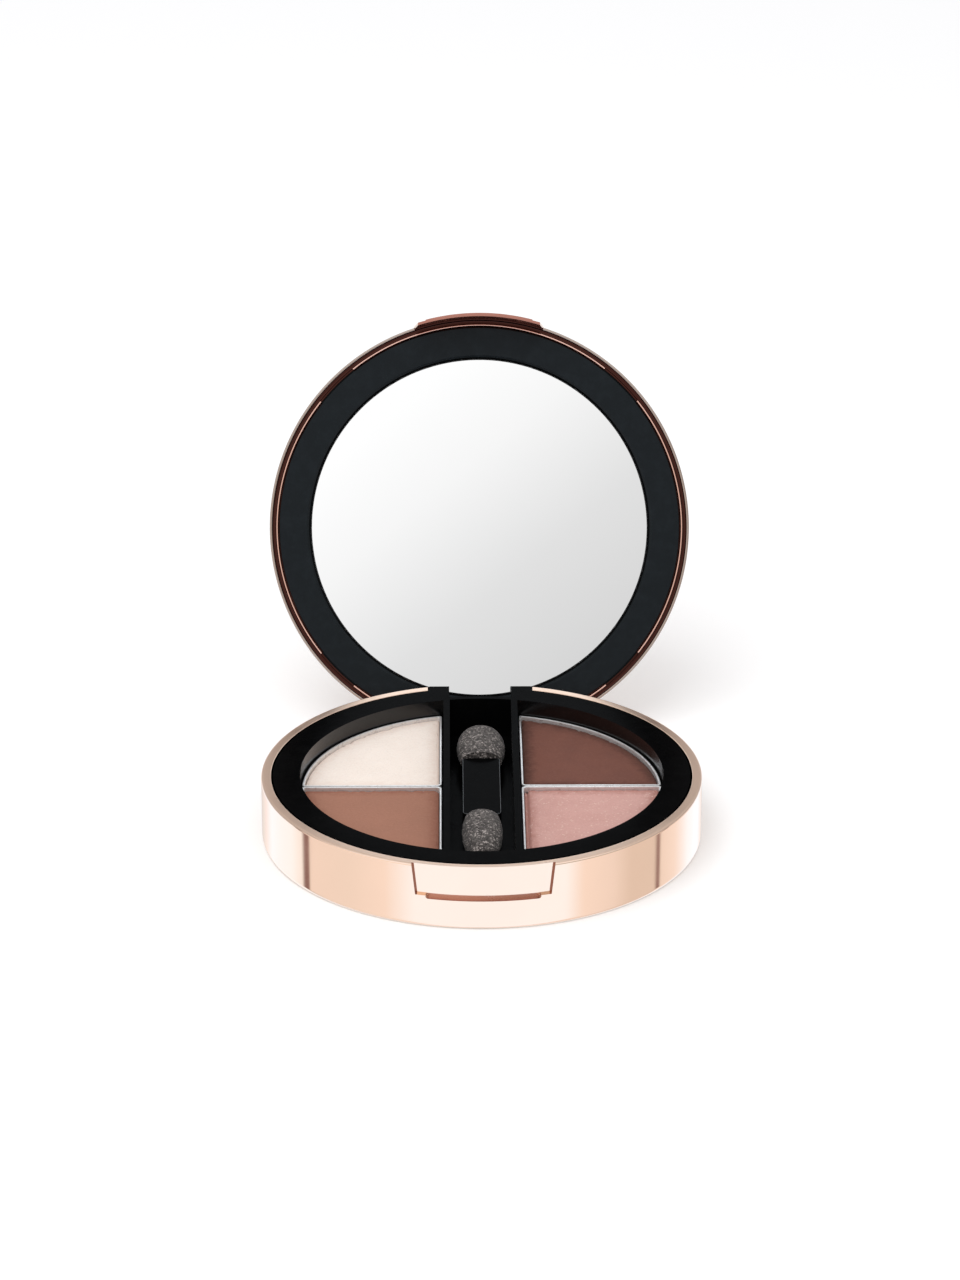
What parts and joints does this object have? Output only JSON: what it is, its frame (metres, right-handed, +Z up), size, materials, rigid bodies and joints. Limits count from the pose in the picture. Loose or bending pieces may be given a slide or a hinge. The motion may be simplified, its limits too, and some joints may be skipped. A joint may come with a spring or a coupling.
{
  "type": "eyeshadow palette",
  "caption": "Round rose-gold compact with a hinged mirror lid, pressed-powder pans in a black tray and a double-ended sponge applicator.",
  "frame": {"origin": "centre of the base's flat underside", "axes": "+Z up, thumb flap towards -Y, hinge towards +Y"},
  "size_m": [0.075, 0.1076, 0.0724],
  "materials": {
    "rose_gold": "vacuum-metallised ABS, polished, rose gold",
    "black_gloss": "gloss moulded",
    "charcoal": "satin gloss",
    "mirror": "silvered glass",
    "aluminium": "drawn sheet",
    "steel": "drawn wire",
    "glue": "set hot-melt glue",
    "tape": "double-sided foam",
    "sponge": "flocked sponge",
    "powder_cream": "pressed powder, matte",
    "powder_terracotta": "pressed powder, matte",
    "powder_brown": "pressed powder, matte",
    "powder_pink": "pressed powder, shimmer"
  },
  "bodies": {
    "base": {"base_shell": "rose_gold", "tray": "black_gloss", "hinge_pin": "steel", "pan_cream": "aluminium", "pan_terracotta": "aluminium", "pan_brown": "aluminium", "pan_pink": "aluminium", "powder_cream": "powder_cream", "powder_terracotta": "powder_terracotta", "powder_brown": "powder_brown", "powder_pink": "powder_pink", "glue_cream": "glue", "glue_terracotta": "glue", "glue_brown": "glue", "glue_pink": "glue"},
    "lid": {"lid_shell": "rose_gold", "mirror_plate": "charcoal", "mirror": "mirror", "mirror_tape": "tape"},
    "applicator": {"applicator_handle": "black_gloss", "sponge_small": "sponge", "sponge_large": "sponge"}
  },
  "joints": [
    {"name": "lid_hinge", "type": "hinge", "parent": "base", "child": "lid", "pos_m": [0, 0.0336, 0.0067], "axis": [-1, 0, 0], "range_deg": [-113.8, 0]},
    {"name": "applicator_lift", "type": "slide", "parent": "base", "child": "applicator", "axis": [0, 0, 1], "range_m": [0, 0.0022]}
  ]
}
